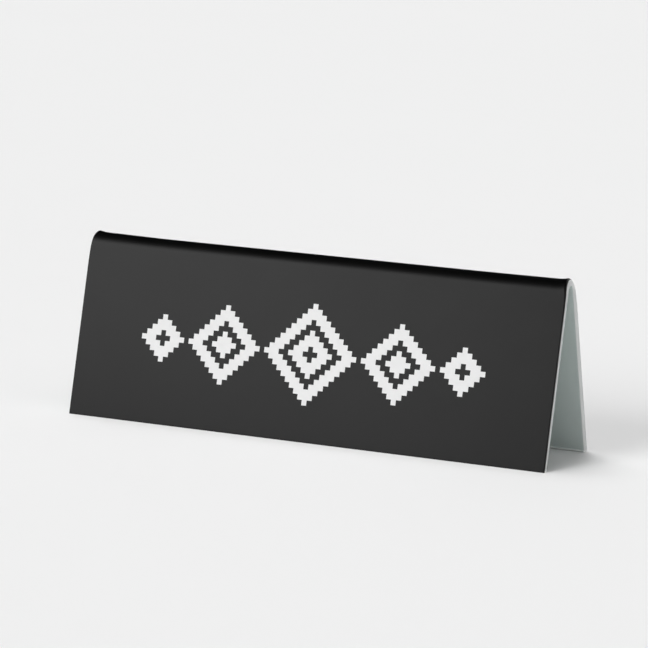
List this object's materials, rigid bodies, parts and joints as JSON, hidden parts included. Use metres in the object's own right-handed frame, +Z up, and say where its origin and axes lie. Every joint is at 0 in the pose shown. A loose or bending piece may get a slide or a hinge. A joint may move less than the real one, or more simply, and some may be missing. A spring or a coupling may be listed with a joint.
{
  "type": "table tent name card",
  "caption": "Free-standing table tent name card: a rigid white plastic sheet bent along its top, with a black face film wrapped over the fold, standing on its cut lower edges.",
  "frame": {"origin": "on the table top, under the middle of the fold", "axes": "+X along the fold, +Y from the front panel to the back panel, +Z up"},
  "size_m": [0.1524, 0.0322, 0.0522],
  "materials": {
    "sheet": "matte",
    "film": "satin",
    "print": "satin"
  },
  "bodies": {
    "back": {"back_panel": "sheet", "back_film": "film", "fold": "sheet", "fold_film": "film"},
    "front": {"front_panel": "sheet", "front_film": "film"}
  },
  "joints": [
    {"name": "fold_flex", "type": "hinge", "parent": "back", "child": "front", "pos_m": [0, 0, 0.04834], "axis": [-1, 0, 0], "range_deg": [-28.2, 28.2], "stiffness_Nm_per_rad": 2, "deforming": ["fold", "fold_film"]}
  ]
}
